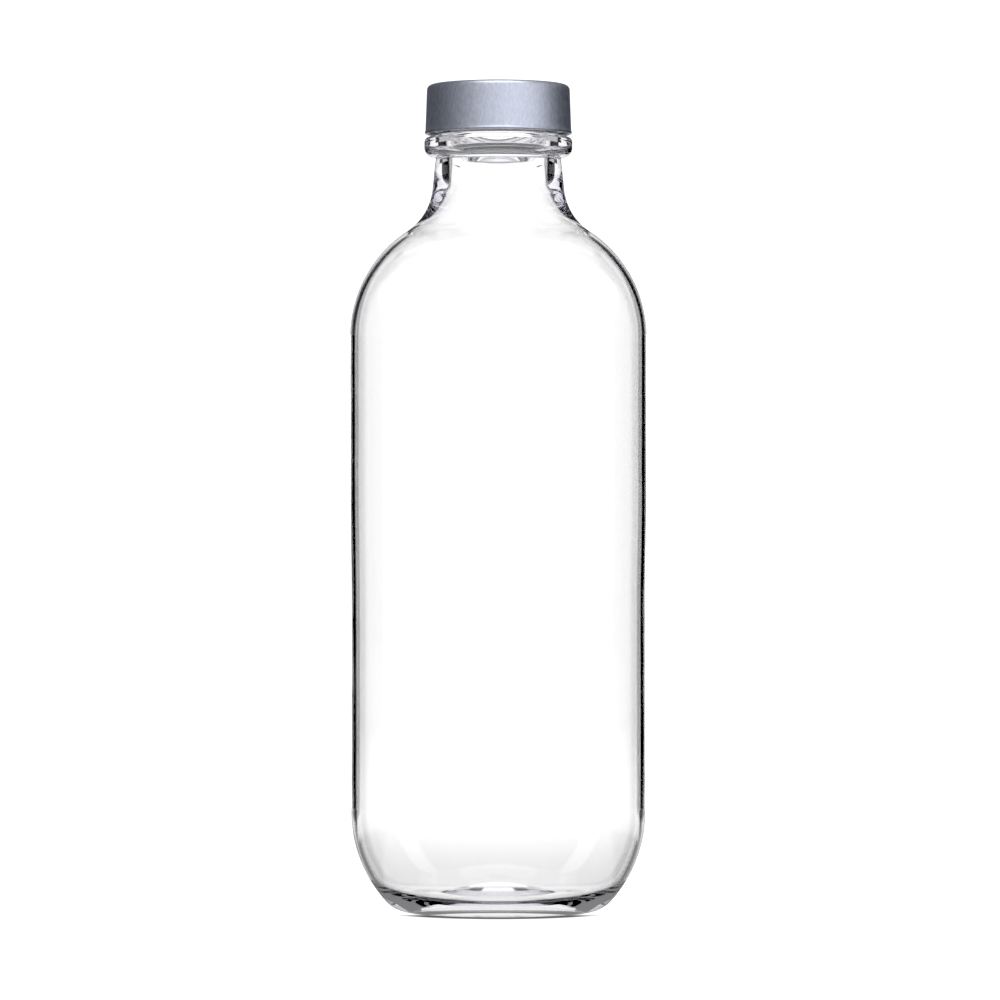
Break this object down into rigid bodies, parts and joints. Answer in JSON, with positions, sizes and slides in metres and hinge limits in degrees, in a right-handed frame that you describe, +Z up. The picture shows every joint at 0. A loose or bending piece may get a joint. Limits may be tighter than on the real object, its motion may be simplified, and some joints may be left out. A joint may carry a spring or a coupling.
{
  "type": "glass water bottle",
  "caption": "Clear round glass bottle with a long rounded shoulder, short neck and neck ring, and a satin metal screw cap over a threaded insert and a flat gasket.",
  "frame": {"origin": "on the bottle's axis, at the surface that its standing ring rests on", "axes": "+Z up along the axis, from the base to the cap; the bottle is round, so +X and +Y are free, and the glass thread starts at +X"},
  "size_m": [0.072, 0.0718, 0.2005],
  "materials": {
    "clear_glass": "clear, fire-polished",
    "satin_aluminium": "satin, fine grain",
    "white_polypropylene": "moulded, satin",
    "silicone": "matt"
  },
  "bodies": {
    "bottle": {"glass_bottle": "clear_glass"},
    "seal": {"seal_ring": "silicone"},
    "cap": {"cap_shell": "satin_aluminium", "cap_insert": "white_polypropylene"}
  },
  "joints": [
    {"name": "cap_rise", "type": "slide", "parent": "bottle", "child": "seal", "axis": [0, 0, 1], "range_m": [0, 0.045]},
    {"name": "cap_turn", "type": "hinge", "parent": "seal", "child": "cap", "pos_m": [0, 0, 0], "axis": [0, 0, 1], "range_deg": [0, 3820]}
  ],
  "couplings": [
    {"joint": "cap_rise", "follows": "cap_turn", "m_per_rad": 0.0006737}
  ]
}
